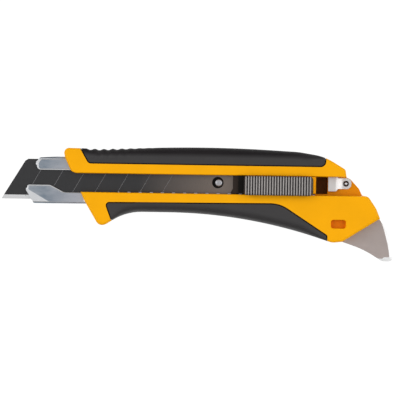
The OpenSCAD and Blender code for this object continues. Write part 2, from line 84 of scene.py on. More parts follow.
# Past the channel's nose and the handle's tail, where long cutters end
BEFORE, BEHIND = -80, 95
LIP_Z = CHANNEL_Z[1] + 0.1
RECESS_Z = CLIP_Z[0]
POCKET_BACK, POCKET_Y, POCKET_Z = 59.2, (-4.8, 3), 2.2
SLOT_Y = (-5.65, 3.0)
RUBBER_T = 1.8

# The same outlines as the CAD, as corners (x, y, radius), clockwise
HANDLE = [
    (-59.8, 14.2, 2.2), (-43, 13.9, 30), (8, 15.75, 600), (46, 13.9, 30), (57.5, 12, 24), (67, 6.3, 1.8),
    (67.5, 2.9, 0), (69.4, 2.1, 1.8), (73.4, -2.2, 3), (74.8, -5.2, 0), (77.4, -5.7, 3), (81, -11, 12),
    (82.8, -15.5, 0), (66, -26.1, 0), (61.4, -26.6, 6), (23, -14.1, 222), (-31.5, -14.1, 25),
    (-42.85, -21.5, 3), (-50, -9.3, 15), (-58.8, 9.5, 8),
]
UPPER_AREA = [(-54.5, 18, 0), (58.4, 18, 0), (58.2, 7.2, 2.6), (-48.4, 7.2, 2.2)]
LOWER_AREA = [(-41, -9.85, 1.6), (37.7, -9.25, 14), (59.3, -23.3, 1.2), (59.2, -30, 0), (-33.5, -30, 0)]
PICK = [
    (58.5, -19.5, 2), (61, -13.4, 2), (78.6, -13.4, 1.2), (82.8, -15.5, 0), (88.6, -24.5, 25),
    (89.7, -34.75, 2.2), (84.3, -34.7, 2.5), (76.5, -29.7, 40), (66, -26.1, 0), (61.5, -24.6, 2),
]
WINDOW = [(60.75, -20.15, 1.1), (60.75, -16.35, 1.1), (67.45, -16.35, 1.1), (67.45, -20.15, 1.1)]


# ---- Outlines -------------------------------------------------------------

LONGEST_CHORD = 2


def rounded(corners, step=6.0, flat=None):
    """A closed outline through rounded corners.

    Each arc has a point every `step` degrees. With `flat`, the straights have one every so many mm."""
    points = []
    for i, (x, y, r) in enumerate(corners):
        corner = np.array((x, y))
        before, after = np.array(corners[i - 1][:2]), np.array(corners[(i + 1) % len(corners)][:2])
        if r == 0:
            points.append(corner)
            continue
        u = (before - corner) / np.linalg.norm(before - corner)
        v = (after - corner) / np.linalg.norm(after - corner)
        half = math.acos(np.clip(u @ v, -1, 1)) / 2
        centre = corner + (u + v) / np.linalg.norm(u + v) * r / math.sin(half)
        start = corner + u * r / math.tan(half) - centre
        sweep = (math.pi - 2 * half) * (-1 if u[0] * v[1] - u[1] * v[0] > 0 else 1)
        count = max(3, round(math.degrees(abs(sweep)) / step), round(abs(sweep) * r / LONGEST_CHORD))
        for k in range(count + 1):
            t = sweep * k / count
            points.append(centre + (start[0] * math.cos(t) - start[1] * math.sin(t),
                                    start[0] * math.sin(t) + start[1] * math.cos(t)))
    if flat:
        points = [p + (q - p) * k / n
                  for p, q in zip(points, points[1:] + points[:1])
                  for n in [max(1, round(np.linalg.norm(q - p) / flat))]
                  for k in range(n)]
    return np.array(points)


def inward(outline):
    """At each point of a clockwise outline, the step that moves both its sides in by 1."""
    before, after = outline - np.roll(outline, 1, 0), np.roll(outline, -1, 0) - outline
    u = before / np.linalg.norm(before, axis=1)[:, None]
    v = after / np.linalg.norm(after, axis=1)[:, None]
    m = np.stack((u[:, 1] + v[:, 1], -u[:, 0] - v[:, 0]), 1)
    m /= np.linalg.norm(m, axis=1)[:, None]
    return m / np.maximum(0.5, m[:, 0] * u[:, 1] - m[:, 1] * u[:, 0])[:, None]


def ramp(x, start, end):
    """0 before the start, 1 after the end, and a straight line between them."""
    return np.clip((x - start) / (end - start), 0, 1)


def plateau(x, rise, fall):
    """1 in the middle, 0 before the rise and after the fall."""
    return ramp(x, *rise) * (1 - ramp(x, *fall))


def smooth(t):
    return t * t * (3 - 2 * t)


# ---- Meshes ---------------------------------------------------------------

# In metres: vertices this close are joined, and edges this short are dissolved
WELD, SLIVER = 2e-6, 1e-6
SIDES = 48


def add_object(name, bm):
    bmesh.ops.recalc_face_normals(bm, faces=bm.faces)
    mesh = bpy.data.meshes.new(name)
    bm.to_mesh(mesh)
    bm.free()
    piece = bpy.data.objects.new(name, mesh)
    bpy.context.scene.collection.objects.link(piece)
    return piece


def loft(name, rings, closed=False):
    """A closed skin over equal rings of points in mm; the ends are capped, or joined where closed."""
    bm = bmesh.new()
    rows = [[bm.verts.new(Vector(p) * MM) for p in ring] for ring in rings]
    pairs = list(zip(rows, rows[1:] + rows[:1])) if closed else list(zip(rows, rows[1:]))
    for low, high in pairs:
        for k in range(len(low)):
            n = (k + 1) % len(low)
            bm.faces.new((low[k], low[n], high[n], high[k]))
    if not closed:
        bm.faces.new(rows[0])
        bm.faces.new(rows[-1])
    return add_object(name, bm)


def ring_at(outline, z):
    return np.column_stack((outline, np.full(len(outline), z)))


def prism(name, outline, z0, z1, rims=(), rim=0.0, steps=5):
    """An upright solid. At each height in rims it flares by `rim`, which rounds an edge that it cuts.

    A rim below 0 draws it in instead, which rounds the edge of what stays inside it."""
    out = -inward(outline)

    def flared(t, z, way):
        """The ring at an angle t of the rim whose edge is at height z. The rim runs up or down from there."""
        return ring_at(outline + out * rim * (1 - math.cos(t)), z + way * abs(rim) * (1 - math.sin(t)))

    rings = [ring_at(outline, z0), ring_at(outline, z1)]
    if z1 in rims:
        rings = rings[:1] + [flared(t, z1, -1) for t in np.linspace(0, math.pi / 2, steps)]
        rings.append(ring_at(outline + out * rim, z1 + 1))
    if z0 in rims:
        start = [flared(t, z0, 1) for t in np.linspace(math.pi / 2, 0, steps)]
        rings = [ring_at(outline + out * rim, z0 - 1)] + start + rings[1:]
    return loft(name, rings)


def box_cutter(x, y, z):
    return prism("cutter", np.array([(x[0], y[0]), (x[0], y[1]), (x[1], y[1]), (x[1], y[0])]), *z)


def disc(x, y, r, z0, z1):
    t = np.linspace(0, 2 * math.pi, SIDES, endpoint=False)
    return prism("cutter", np.column_stack((x + r * np.cos(t), y - r * np.sin(t))), z0, z1)


def turned(name, x, y, profile, sides=SIDES):
    """A round solid about an upright line at (x, y), from a profile of (radius, height)."""
    rings = [[(x + r * math.cos(a), y + r * math.sin(a), z) for r, z in profile]
             for a in np.linspace(0, 2 * math.pi, sides, endpoint=False)]
    return loft(name, rings, closed=True)


def apply_modifiers(piece):
    bpy.context.view_layer.update()
    mesh = bpy.data.meshes.new_from_object(piece.evaluated_get(bpy.context.evaluated_depsgraph_get()))
    piece.modifiers.clear()
    piece.data = mesh


def combine(piece, other, operation):
    """Boolean of two pieces, applied. The second one is used up."""
    mod = piece.modifiers.new("cut", "BOOLEAN")
    mod.operation, mod.solver, mod.object = operation, "EXACT", other
    apply_modifiers(piece)
    bpy.data.objects.remove(other)
    return piece


def cut(piece, *others):
    for other in others:
        combine(piece, other, "DIFFERENCE")
    return piece


def split_at(piece, x):
    """Cuts the faces in two along a plane across the knife, for a bend or another material from there on."""
    bm = bmesh.new()
    bm.from_mesh(piece.data)
    geometry = bm.verts[:] + bm.edges[:] + bm.faces[:]
    bmesh.ops.bisect_plane(bm, geom=geometry, plane_co=(x * MM, 0, 0), plane_no=(1, 0, 0))
    bm.to_mesh(piece.data)
    bm.free()


def bend_down(piece, high, low, start, end, cuts):
    """Bends a flat leaf from one height at the start to another at the end. The cuts let its faces bend."""
    for x in cuts:
        split_at(piece, x)
    for v in piece.data.vertices:
        v.co.z += (low + (high - low) * (1 - float(smooth(ramp(v.co.x / MM, start, end))))) * MM


def finish_surface(piece, angle=32.0):
    """Cleans a cut mesh and shades it: smooth up to an angle, with the flats kept flat."""
    bm = bmesh.new()
    bm.from_mesh(piece.data)
    bmesh.ops.remove_doubles(bm, verts=bm.verts, dist=WELD)
    bmesh.ops.dissolve_degenerate(bm, edges=bm.edges, dist=SLIVER)
    bm.to_mesh(piece.data)
    bm.free()
    piece.data.polygons.foreach_set("use_smooth", [True] * len(piece.data.polygons))
    piece.data.set_sharp_from_angle(angle=math.radians(angle))
    mod = piece.modifiers.new("normals", "WEIGHTED_NORMAL")
    mod.keep_sharp = True
    mod.weight = 100


def soften(piece, width):
    """A small bevel on a piece's crisp edges. It suits CAD nodes, whose own mesh stays as it is."""
    mod = piece.modifiers.new("edges", "BEVEL")
    mod.width, mod.segments, mod.limit_method = width * MM, 2, "ANGLE"
    mod.angle_limit = math.radians(40)
    mod.harden_normals = False


def paint(piece, material):
    piece.data.materials.clear()
    piece.data.materials.append(material)


def paint_faces(piece, material, chosen):
    """Gives another material to the faces for which chosen(x, y, z, face) holds at their centre, in mm."""
    piece.data.materials.append(material)
    for face in piece.data.polygons:
        if chosen(*face.center / MM, face):
            face.material_index = len(piece.data.materials) - 1


def place(piece, body, material, slot, *replaced):
    """Gives a piece its first material, the CAD nodes it stands for and the body it moves with. The slot is
    not used.
    """
    paint(piece, material)
    if replaced:
        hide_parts(*replaced)
    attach(piece, body)


# ---- Materials ------------------------------------------------------------

# Noise stays near 0.5, so this part of its range is spread over a material's own range
NOISE_LOW, NOISE_HIGH = 0.3, 0.7
EVEN, ALONG_X, ALONG_Y = (1, 1, 1), (40, 1, 1), (1, 30, 1)
RUBBER = {"roughness": 0.5, "grain": 0.09, "depth": 0.01, "spread": 0.08, "gloss": 0.6}
BLASTED = {"roughness": 0.5, "along": EVEN}


class Shader:
    """A Principled material whose nodes are added by name. Sizes are in millimetres."""

    def __init__(self, name, metallic=0.0, roughness=0.5, **constants):
        self.material = bpy.data.materials.new(name)
        self.material.use_nodes = True
        self.tree = self.material.node_tree
        self.tree.nodes.clear()
        self.bsdf = self.node("ShaderNodeBsdfPrincipled")
        output = self.node("ShaderNodeOutputMaterial")
        self.link(self.bsdf.outputs["BSDF"], output.inputs["Surface"])
        self.point = self.node("ShaderNodeTexCoord").outputs["Object"]
        self.bsdf.inputs["Metallic"].default_value = metallic
        self.bsdf.inputs["Roughness"].default_value = roughness
        for socket, value in constants.items():
            self.bsdf.inputs[socket.replace("_", " ")].default_value = value
        self.relief = None

    def node(self, kind, **settings):
        node = self.tree.nodes.new(kind)
        for key, value in settings.items():
            setattr(node, key, value)
        return node

    def link(self, source, target):
        self.tree.links.new(source, target)

    def noise(self, size, stretch=EVEN, detail=3.0):
        """Noise whose features are about `size` mm, drawn out by stretch along each axis."""
        mapping = self.node("ShaderNodeMapping")
        mapping.inputs["Scale"].default_value = [1 / (size * MM * s) for s in stretch]
        self.link(self.point, mapping.inputs["Vector"])
        noise = self.node("ShaderNodeTexNoise")
        noise.inputs["Scale"].default_value = 1.0
        noise.inputs["Detail"].default_value = detail
        self.link(mapping.outputs["Vector"], noise.inputs["Vector"])
        return noise.outputs["Fac"]

    def ramp(self, value, stops):
        """A colour for each value, from stops of (position, colour)."""
        ramp = self.node("ShaderNodeValToRGB")
        elements = ramp.color_ramp.elements
        while len(elements) < len(stops):
            elements.new(0.5)
        for element, (position, colour) in zip(elements, stops):
            element.position = position
            element.color = (*colour, 1.0)
        self.link(value, ramp.inputs["Fac"])
        return ramp.outputs["Color"]

    def scaled(self, value, source, target):
        """Maps a value from one range to another."""
        scale = self.node("ShaderNodeMapRange")
        for socket, number in zip(("From Min", "From Max", "To Min", "To Max"), (*source, *target)):
            scale.inputs[socket].default_value = number
        self.link(value, scale.inputs["Value"])
        return scale.outputs["Result"]

    def between(self, noise, low, high):
        """Spreads noise over a range."""
        return self.scaled(noise, (NOISE_LOW, NOISE_HIGH), (low, high))

    def along(self, axis, start, end):
        """0..1 along a row axis, between two places in mm."""
        split = self.node("ShaderNodeSeparateXYZ")
        self.link(self.point, split.inputs["Vector"])
        return self.scaled(split.outputs[axis], (start * MM, end * MM), (0, 1))

    def mix(self, factor, a, b):
        """A mix of two colours. Each of the three is a socket, or a constant."""
        mix = self.node("ShaderNodeMix", data_type="RGBA")
        for value, socket in ((factor, mix.inputs[0]), (a, mix.inputs[6]), (b, mix.inputs[7])):
            if hasattr(value, "is_linked"):
                self.link(value, socket)
            else:
                socket.default_value = value if isinstance(value, float) else (*value, 1.0)
        return mix.outputs[2]

    def colour(self, source):
        self.link(source, self.bsdf.inputs["Base Color"])

    def roughness(self, source):
        self.link(source, self.bsdf.inputs["Roughness"])

    def bump(self, source, depth):
        """Adds relief of a depth in mm to what is there."""
        node = self.node("ShaderNodeBump")
        node.inputs["Strength"].default_value = 1.0
        node.inputs["Distance"].default_value = depth * MM
        self.link(source, node.inputs["Height"])
        if self.relief:
            self.link(self.relief, node.inputs["Normal"])
        self.relief = node.outputs["Normal"]
        self.link(self.relief, self.bsdf.inputs["Normal"])


def tones(colour, spread):
    """Noise stops from a little darker to a little lighter than a colour."""
    return [(NOISE_LOW, [c * (1 - spread) for c in colour]), (NOISE_HIGH, [c * (1 + spread) for c in colour])]


def moulded(name, colour, roughness=0.42, grain=0.12, depth=0.006, spread=0.03, gloss=0.5):
    """Plastic or rubber with a fine grain."""
    s = Shader(name, roughness=roughness, Specular_IOR_Level=gloss)
    s.colour(s.ramp(s.noise(9, detail=4), tones(colour, spread)))
    s.roughness(s.between(s.noise(2.5), roughness - 0.05, roughness + 0.07))
    s.bump(s.noise(grain, detail=2), depth)
    return s


def brushed(name, colour, roughness=0.3, along=ALONG_X, line=0.06, depth=0.0025, metallic=1.0):
    """Metal with fine lines along an axis, or with an even grain."""
    s = Shader(name, metallic=metallic, roughness=roughness)
    lines = s.noise(line, stretch=along, detail=4)
    shades = tones(colour, 0.08)
    s.colour(s.mix(0.5, s.ramp(lines, shades), s.ramp(s.noise(6), shades)))
    s.roughness(s.between(lines, roughness - 0.06, roughness + 0.08))
    s.bump(lines, depth)
    return s


def rolled_steel():
    """Bluish sheet, clouded darker at the nose, and paler towards the handle."""
    pale = (0.40, 0.435, 0.485)
    s = brushed("rolled_steel", pale, roughness=0.33)
    patches = s.noise(3.5, stretch=(2.5, 1, 1), detail=4)
    clouds = s.ramp(patches, [(0.35, (0.24, 0.29, 0.35)), (0.65, pale)])
    s.colour(s.mix(s.along("X", -68, -52), clouds, (0.52, 0.53, 0.58)))
    s.bump(s.noise(4, stretch=(2, 1, 1), detail=2), 0.06)
    return s


def ribbed_plastic():
    """Grey pad, with a painted highlight on the crests of its ribs and painted shade between them."""
    groove_shade = (0.022, 0.020, 0.022)
    s = moulded("pad_painted_light", groove_shade, grain=0.1)
    # Painted light by height: shade low between the ribs, highlight on their crests
    height = s.along("Z", PAD_Z[1] - 0.7, PAD_Z[1] - 0.02)
    s.colour(s.ramp(height, [(0.1, groove_shade), (0.95, (0.40, 0.375, 0.36))]))
    return s


def spine_rubber():
    """The same rubber, duller towards the spine."""
    s = moulded("spine_rubber", (0.016, 0.014, 0.015), **RUBBER)
    gloss = s.scaled(s.along("Y", 10.6, 12.6), (0, 1), (0.62, 0.10))
    s.link(gloss, s.bsdf.inputs["Specular IOR Level"])
    return s


def blade_black():
    """Black oxide, with fine lines across the blade, and a painted reflection that turns it a brownish grey
    towards the plate.
    """
    s = Shader("black_oxide", metallic=0.55, roughness=0.36)
    fine = s.noise(0.07, stretch=ALONG_Y, detail=4)
    black = s.ramp(fine, tones((0.038, 0.038, 0.040), 0.12))
    reflected_grey = s.ramp(fine, tones((0.19, 0.158, 0.138), 0.1))
    # Painted reflection: black at the tip, brownish grey towards the plate
    s.colour(s.mix(s.along("X", -26, 12), black, reflected_grey))
    s.roughness(s.between(s.noise(3), 0.33, 0.42))
    s.bump(fine, 0.0015)
    return s


yellow = moulded("moulded_yellow", (0.985, 0.435, 0.0), gloss=0.1).material
# Painted shade: dark brown on the walls and floor of the deep pocket under the clip's head
pocket_painted_shade = moulded("pocket_painted_shade", (0.30, 0.10, 0.01), gloss=0.1).material
# Painted shade: darker yellow on the floor that the clip's head lies over
recess_painted_shade = moulded("recess_painted_shade", (0.74, 0.25, 0.0), gloss=0.1).material
# Painted shade: the pick's plug is coloured darker, for the shade it sits in down the window
plug_painted_shade = moulded("plug_tone_painted_shade", (0.69, 0.19, 0.0), roughness=0.5, gloss=0.1).material
# Black plastic for the thumb button, and also painted shade: the seam grooves' floors and the flange round
# the blade's stud
black_plastic_and_painted_shade = moulded("black_plastic_and_painted_shade", (0.004, 0.003, 0.002), roughness=0.6, gloss=0.15).material
pad_painted_light = ribbed_plastic().material
rubber = moulded("fine_rubber", (0.020, 0.0175, 0.0185), **RUBBER).material
dull_rubber = spine_rubber().material
channel_steel = rolled_steel().material
# Painted highlight: pale steel on the jaws' flat rims and on the clip rivet's domed middle
painted_highlight_steel = brushed("painted_highlight_steel", (0.68, 0.69, 0.71), roughness=0.5, along=EVEN).material
# Painted shade: near-black steel for the carrier plate, the channel's floor and the rim of the clip's rivet
carrier_steel = brushed("carrier_steel", (0.055, 0.042, 0.036), roughness=0.35).material
clip_steel = brushed("bright_steel", (0.66, 0.65, 0.645), roughness=0.5, line=0.05).material
fastener_steel = brushed("fastener_steel", (0.42, 0.42, 0.44), roughness=0.46, along=EVEN).material
spring_steel = brushed("spring_steel", (0.3, 0.3, 0.32)).material
blade_oxide = blade_black().material
ground_steel = brushed("ground_steel", (0.78, 0.78, 0.79), roughness=0.42, along=ALONG_Y, line=0.05).material
scored_steel = brushed("scored_steel", (0.24, 0.24, 0.25), roughness=0.6).material
pick_steel = brushed("blasted_steel", (0.45, 0.39, 0.37), line=0.14, depth=0.01, **BLASTED).material
# Painted highlight: near-white steel on the pick's bevel
pick_bevel_painted_highlight = brushed("bevelled_steel", (0.93, 0.93, 0.93), line=0.1, metallic=0.25, **BLASTED).material


# ---- Handle ---------------------------------------------------------------

HARD_EDGE, SOFT_EDGE = 1.2, 4.2
SCALLOP_PITCH, SCALLOP_DEPTH, SCALLOP_AT, SCALLOPS_END = 4.0, 0.6, -47.6, -17
# The part of a scallop's depth that shows at the faces: inwards and downwards
SCALLOP_IN, SCALLOP_DOWN = 0.3, 0.25
GROOVE_W, GROOVE_D = 0.55, 0.5
SLOT_RIM, DRAFT, WINDOW_RIM = 0.35, 0.2, 0.3


def edge_radius(outline):
    """The rounding at each point: large along the spine and the belly, small elsewhere."""
    x, y = outline[:, 0], outline[:, 1]
    spine = (y > 5) * plateau(x, (-52, -44), (48, 58))
    belly = (y < -12) * plateau(x, (-40, -30), (46, 58))
    return HARD_EDGE + (SOFT_EDGE - HARD_EDGE) * smooth(np.maximum(spine, belly))


def scallops_at(outline):
    """How far the hollows across the spine go in, at each point. They fade out to the rear."""
    x, y = outline[:, 0], outline[:, 1]
    fade = (y > 8) * smooth(ramp(x, -51, -48.5)) * (1 - smooth(ramp(x, -42, -18)) * 0.9) * (x < SCALLOPS_END)
    wave = 0.5 + 0.5 * np.cos(2 * math.pi * (x - SCALLOP_AT) / SCALLOP_PITCH)
    return SCALLOP_DEPTH * fade * wave


def handle_blank(name, shrink=0.0, scallops=False, steps=9):
    """The whole handle as a plate with rounded edges, or the same shape moved in by shrink."""
    outline = rounded(HANDLE, flat=0.5 if scallops else 1.0)
    hollow = scallops_at(outline) if scallops else 0.0
    step, r = inward(outline), np.maximum(edge_radius(outline) - shrink, 0.05)
    angles = np.linspace(0, math.pi / 2, steps)
    rings = []
    for top in (False, True):
        for t in angles[::-1] if top else angles:
            move = shrink + r * (1 - math.sin(t)) + hollow * (SCALLOP_IN + (1 - SCALLOP_IN) * math.sin(t))
            depth = shrink + r * (1 - math.cos(t))
            depth += hollow * SCALLOP_DOWN * (1 - math.sin(t)) ** 0.5 * math.cos(t)
            z = HANDLE_T - depth if top else depth
            rings.append(np.column_stack((outline + step * move[:, None], z)))
    return loft(name, rings)


def core_edge(low, high, side):
    """The handle's edge moved in by the rubber's thickness, from one x to another, above or below."""
    outline = rounded(HANDLE)
    keep = (outline[:, 0] > low) & (outline[:, 0] < high) & (outline[:, 1] * side > 8)
    return [tuple(p) for p in (outline + inward(outline) * RUBBER_T)[keep]]


UPPER_CORE = [(-60, 0), (-60, 14.1 - RUBBER_T)] + core_edge(-50, 66, 1) + [(70, 6 - RUBBER_T), (70, 0)]
LOWER_CORE = [(70, 0), (70, RUBBER_T - 26)] + core_edge(-36, 60, -1) + [(-45, RUBBER_T - 18), (-45, 0)]


def rubber_space(area, core):
    """What a grip takes up, before it is trimmed to the handle's surface."""
    space = prism("space", rounded(area), -2, HANDLE_T + 2)
    return cut(space, prism("core", np.array(core), RUBBER_T, HANDLE_T - RUBBER_T))


def seam_groove(area):
    """The narrow step along the edge of a grip, following the surface all the way round."""
    outline = rounded(area)
    ribbon = prism("ribbon", outline, -2, HANDLE_T + 2)
    cut(ribbon, prism("inside", outline + inward(outline) * GROOVE_W, -3, HANDLE_T + 3))
    return cut(ribbon, handle_blank("below", shrink=GROOVE_D, steps=5))


def slot_cutter():
    """The slot in the face, open at both ends, with its curved mouth at the nose and a rounded rim."""
    outline = rounded([
        (-75, SLOT_Y[0], 0), (-75, 9.8, 0), (-58.7, 9.8, 0.6), (-56, SLOT_Y[1], 4),
        (BEHIND, SLOT_Y[1], 0), (BEHIND, SLOT_Y[0], 0),
    ])
    step = inward(outline)
    rings = [ring_at(outline + step * DRAFT, LIP_Z - 0.01)]
    rings += [ring_at(outline - step * SLOT_RIM * (1 - math.cos(t)), HANDLE_T - SLOT_RIM * (1 - math.sin(t)))
              for t in np.linspace(0, math.pi / 2, 5)]
    return loft("slot", rings + [ring_at(outline - step * SLOT_RIM, HANDLE_T + 1)])


def in_pocket(x, y, z, face):
    """Whether a face is a wall of the pocket under the clip's head, or its floor."""
    in_plan = CHANNEL_X[1] - 0.1 < x < POCKET_BACK + 0.1 and POCKET_Y[0] - 0.1 < y < POCKET_Y[1] + 0.1
    return in_plan and 1 < z < RECESS_Z - 0.1


def recess_floor(x, y, z, face):
    """Whether a face is on the floor that the clip's head lies over."""
    in_plan = x > CHANNEL_X[1] and WALL[0] < y < WALL[1]
    return in_plan and abs(z - RECESS_Z) < 0.1 and face.normal.z > 0.5


def groove_floor(x, y, z, face):
    """Whether a face is the floor of a seam groove, on the front or on the back."""
    return abs(min(z, HANDLE_T - z) - GROOVE_D) < 0.02 and abs(face.normal.z) > 0.99


def build_handle():
    """The moulded body with its rubber's beds, the channel, the clip's recess and pocket, and the slot."""
    body = handle_blank("handle_shell")
    cut(body, rubber_space(UPPER_AREA, UPPER_CORE), rubber_space(LOWER_AREA, LOWER_CORE))
    cut(body,
        box_cutter((BEFORE, CHANNEL_X[1]), WALL, (CHANNEL_Z[0], LIP_Z)),
        box_cutter((CHANNEL_X[1] - 0.01, BEHIND), WALL, (RECESS_Z, LIP_Z)),
        box_cutter((CHANNEL_X[1] - 0.01, POCKET_BACK), POCKET_Y, (POCKET_Z, LIP_Z)),
        slot_cutter(),
        prism("window", rounded(WINDOW), 0, HANDLE_T, rims=(0, HANDLE_T), rim=WINDOW_RIM),
        prism("pick_space", rounded(PICK), *PICK_Z))
    finish_surface(body)
    place(body, "handle", yellow, "handle_plastic", "handle_body")
    # The pocket's walls and floor get painted shade
    paint_faces(body, pocket_painted_shade, in_pocket)
    # The floor under the clip's head gets painted shade
    paint_faces(body, recess_painted_shade, recess_floor)


def build_grip(name, node, area, core, scallops, material):
    """A rubber grip, trimmed to the handle's surface, with a groove along its seam."""
    grip = rubber_space(area, core)
    grip.name = grip.data.name = name
    combine(grip, handle_blank("blank", scallops=scallops), "INTERSECT")
    cut(grip, seam_groove(area))
    finish_surface(grip)
    place(grip, "handle", material, "grip_rubber", node)
    # The seam grooves' floors get painted shadow
    paint_faces(grip, black_plastic_and_painted_shade, groove_floor)


build_handle()
build_grip("upper_grip_skin", "upper_grip", UPPER_AREA, UPPER_CORE, True, dull_rubber)
build_grip("lower_grip_skin", "lower_grip", LOWER_AREA, LOWER_CORE, False, rubber)


# ---- Blade channel --------------------------------------------------------

SHEET, OUTER_BEND, INNER_BEND, CHANNEL_RIM = 0.8, 1.2, 0.4, 0.22
# The jaws' faces are sunk by DISH_DEPTH. The slope down is wider at the lower jaw's outer corner
DISH_DEPTH, DISH_SLOPE, DISH_CORNER, JAW_END = 0.15, 0.25, 0.9, -52
CHANNEL_PLAN = [
    (-70.2, 9.7, 1.2), (-60, 10.4, 0), (CHANNEL_X[1], 10.4, 0), (CHANNEL_X[1], -11.1, 0), (-72.6, -11.1, 1.4),
    (-76.4, -5, 1.6), (-75.9, -2, 0.5), (-72, 3, 0.5), (-72, 7.6, 1),
]
OPENING = [
    (BEFORE, 6.2, 0), (-71.5, 6.2, 0), (-71.5, 4.1, 1.6), (60, 4.1, 0), (60, -5.1, 0), (-35, -5.1, 0),
    (-35, -5.8, 0), (-59.3, -5.8, 4), (-65.4, -2.55, 4), (-75.8, -2.55, 1), (-75.8, -4, 0), (BEFORE, -4, 0),
]
UPPER_DISH = [(-71.1, 4.5, 1.3), (-71.1, 6.9, 0.9), (-69.8, 8.9, 0.9), (-50, 9.3, 0), (-50, 4.5, 0)]
LOWER_DISH = [
    (-75.6, -4.7, 0.9), (-75.3, -2.95, 0.6), (-65.5, -2.95, 3.6), (-59.8, -5.9, 3.6), (-50, -5.9, 0),
    (-50, -10.5, 0), (-66, -10.3, 5), (-72.4, -7.8, 3),
]
NOTCH_FIRST, NOTCH_PITCH, NOTCH_COUNT = -32.5, 5.0, 16
NOTCH = [(-1.9, -3.9), (1.9, -3.9), (1.9, -5.1), (1.3, -6.6), (-1.3, -6.6), (-1.9, -5.1)]
RIVETS_X, RIVET_HOLE = (-46, 47), 1.2
# The stops on the channel's floor, in front of the plate that carries the blade
STOP_X, STOPS_Y, STOP_HIGH = (-42.2, -39.7), ((-8.4, -6.2), (6, 8.2)), 1.6


def tunnel(name, y, z, r, x):
    """A tube's solid along the knife, with its four long edges rounded."""
    section = rounded([(y[0], z[0], r), (y[0], z[1], r), (y[1], z[1], r), (y[1], z[0], r)], step=10)
    return loft(name, [[(at, *p) for p in section] for at in x])


def dish_cutter(corners, z):
    """A shallow dish in a face at height z, with sloping sides."""
    outline = rounded(corners)
    corner = smooth(ramp(outline[:, 0], -66, -70)) * smooth(ramp(outline[:, 1], -5, -7.5))
    floor = outline + inward(outline) * (DISH_SLOPE + DISH_CORNER * corner)[:, None]
    return loft("dish", [ring_at(floor, z - DISH_DEPTH), ring_at(outline, z), ring_at(outline, z + 1)])


def build_channel():
    """A bent steel C. Its flanges end at the nose in two jaws with rounded rims and dished faces."""
    (y0, y1), (z0, z1) = WALL, CHANNEL_Z
    flange_z = z1 - SHEET - 0.01
    channel = tunnel("channel_shell", WALL, CHANNEL_Z, OUTER_BEND, (-78, CHANNEL_X[1]))
    plan = prism("plan", rounded(CHANNEL_PLAN), z0 - 1, z1, rims=(z1,), rim=-CHANNEL_RIM)
    combine(channel, plan, "INTERSECT")
    hollow_y, hollow_z = (y0 + SHEET, y1 - SHEET), (z0 + SHEET, z1 - SHEET)
    cut(channel,
        tunnel("hollow", hollow_y, hollow_z, INNER_BEND, (-79, CHANNEL_X[1] + 1)),
        prism("opening", rounded(OPENING), flange_z, z1, rims=(z1,), rim=CHANNEL_RIM))
    for x in NOTCH_FIRST + NOTCH_PITCH * np.arange(NOTCH_COUNT):
        cut(channel, prism("notch", np.array(NOTCH) + (x, 0), flange_z, z1 + 1))
    cut(channel, dish_cutter(UPPER_DISH, z1), dish_cutter(LOWER_DISH, z1))
    for x in RIVETS_X:
        cut(channel, disc(x, 0, RIVET_HOLE, z0 - 1, z0 + 2))
    for y in STOPS_Y:
        combine(channel, box_cutter(STOP_X, y, (z0 + SHEET - 0.01, z0 + STOP_HIGH)), "UNION")
    split_at(channel, JAW_END)
    finish_surface(channel, angle=30)
    place(channel, "handle", channel_steel, "channel_steel", "blade_channel")
    # The jaws' flat rims get a painted highlight
    paint_faces(channel, painted_highlight_steel, lambda x, y, z, face: (
        x < JAW_END and z > z1 - DISH_DEPTH + 0.01 and face.normal.z > 0.2 and y < 9.2))
    # The channel's floor gets painted shade
    paint_faces(channel, carrier_steel, lambda x, y, z, face: z < z0 + SHEET + 0.1 and face.normal.z > 0.5)


build_channel()


# ---- Metal pick -----------------------------------------------------------

# The bevel is ground from both faces down to an edge of this thickness. Other edges are only broken
PICK_BEVEL, PICK_EDGE, PICK_CRISP = 1.9, 0.9, 0.12
BEVEL_START = 81.9


def build_pick():
    """A flat hooked plate with a bevel along its outer side and its tip."""
    outline = rounded(PICK, flat=0.8)
    x, y = outline[:, 0], outline[:, 1]
    side, tip = smooth(ramp(x, 82.8, 89)), smooth(ramp(x, 81.8, 85.5)) * (y < -31)
    width = PICK_BEVEL * np.maximum(side, tip)
    mid, half = sum(PICK_Z) / 2, (PICK_Z[1] - PICK_Z[0]) / 2
    edge_z = half - PICK_CRISP - (half - PICK_CRISP - PICK_EDGE / 2) * width / PICK_BEVEL
    inner = outline + inward(outline) * np.maximum(width, PICK_CRISP)[:, None]
    pick = loft("metal_pick_plate", [
        ring_at(inner, mid - half), np.column_stack((outline, mid - edge_z)),
        np.column_stack((outline, mid + edge_z)), ring_at(inner, mid + half),
    ])
    cut(pick, prism("window", rounded(WINDOW), 0, HANDLE_T))
    finish_surface(pick, angle=20)
    place(pick, "handle", pick_steel, "pick_steel", "metal_pick")
    # The bevel gets a painted highlight
    paint_faces(pick, pick_bevel_painted_highlight, lambda x, y, z, face: 0.3 < abs(face.normal.z) < 0.995 and x > BEVEL_START)


build_pick()


# ---- Blade ----------------------------------------------------------------

BLADE_BEVEL, BLADE_KEEN = 1.8, 0.02
SNAP_PITCH, SNAP_COUNT, SNAP_ANGLE, SNAP_DEPTH, SNAP_HALF_W = 10.0, 7, 60.0, 0.08, 0.15
# The tip's angle, and how far its upper corner is cut off
TIP_ANGLE, TIP_DROP, TIP_CUT = 58.5, 0.85, 1.35
TAIL_CUT_X, TAIL_CUT_Y = 3.4, 6
STUD_X, STUD_Y = 10.25, -0.5
HOLE_X, HOLE_Y, HOLE_R = 9.8, -0.4, 2.57


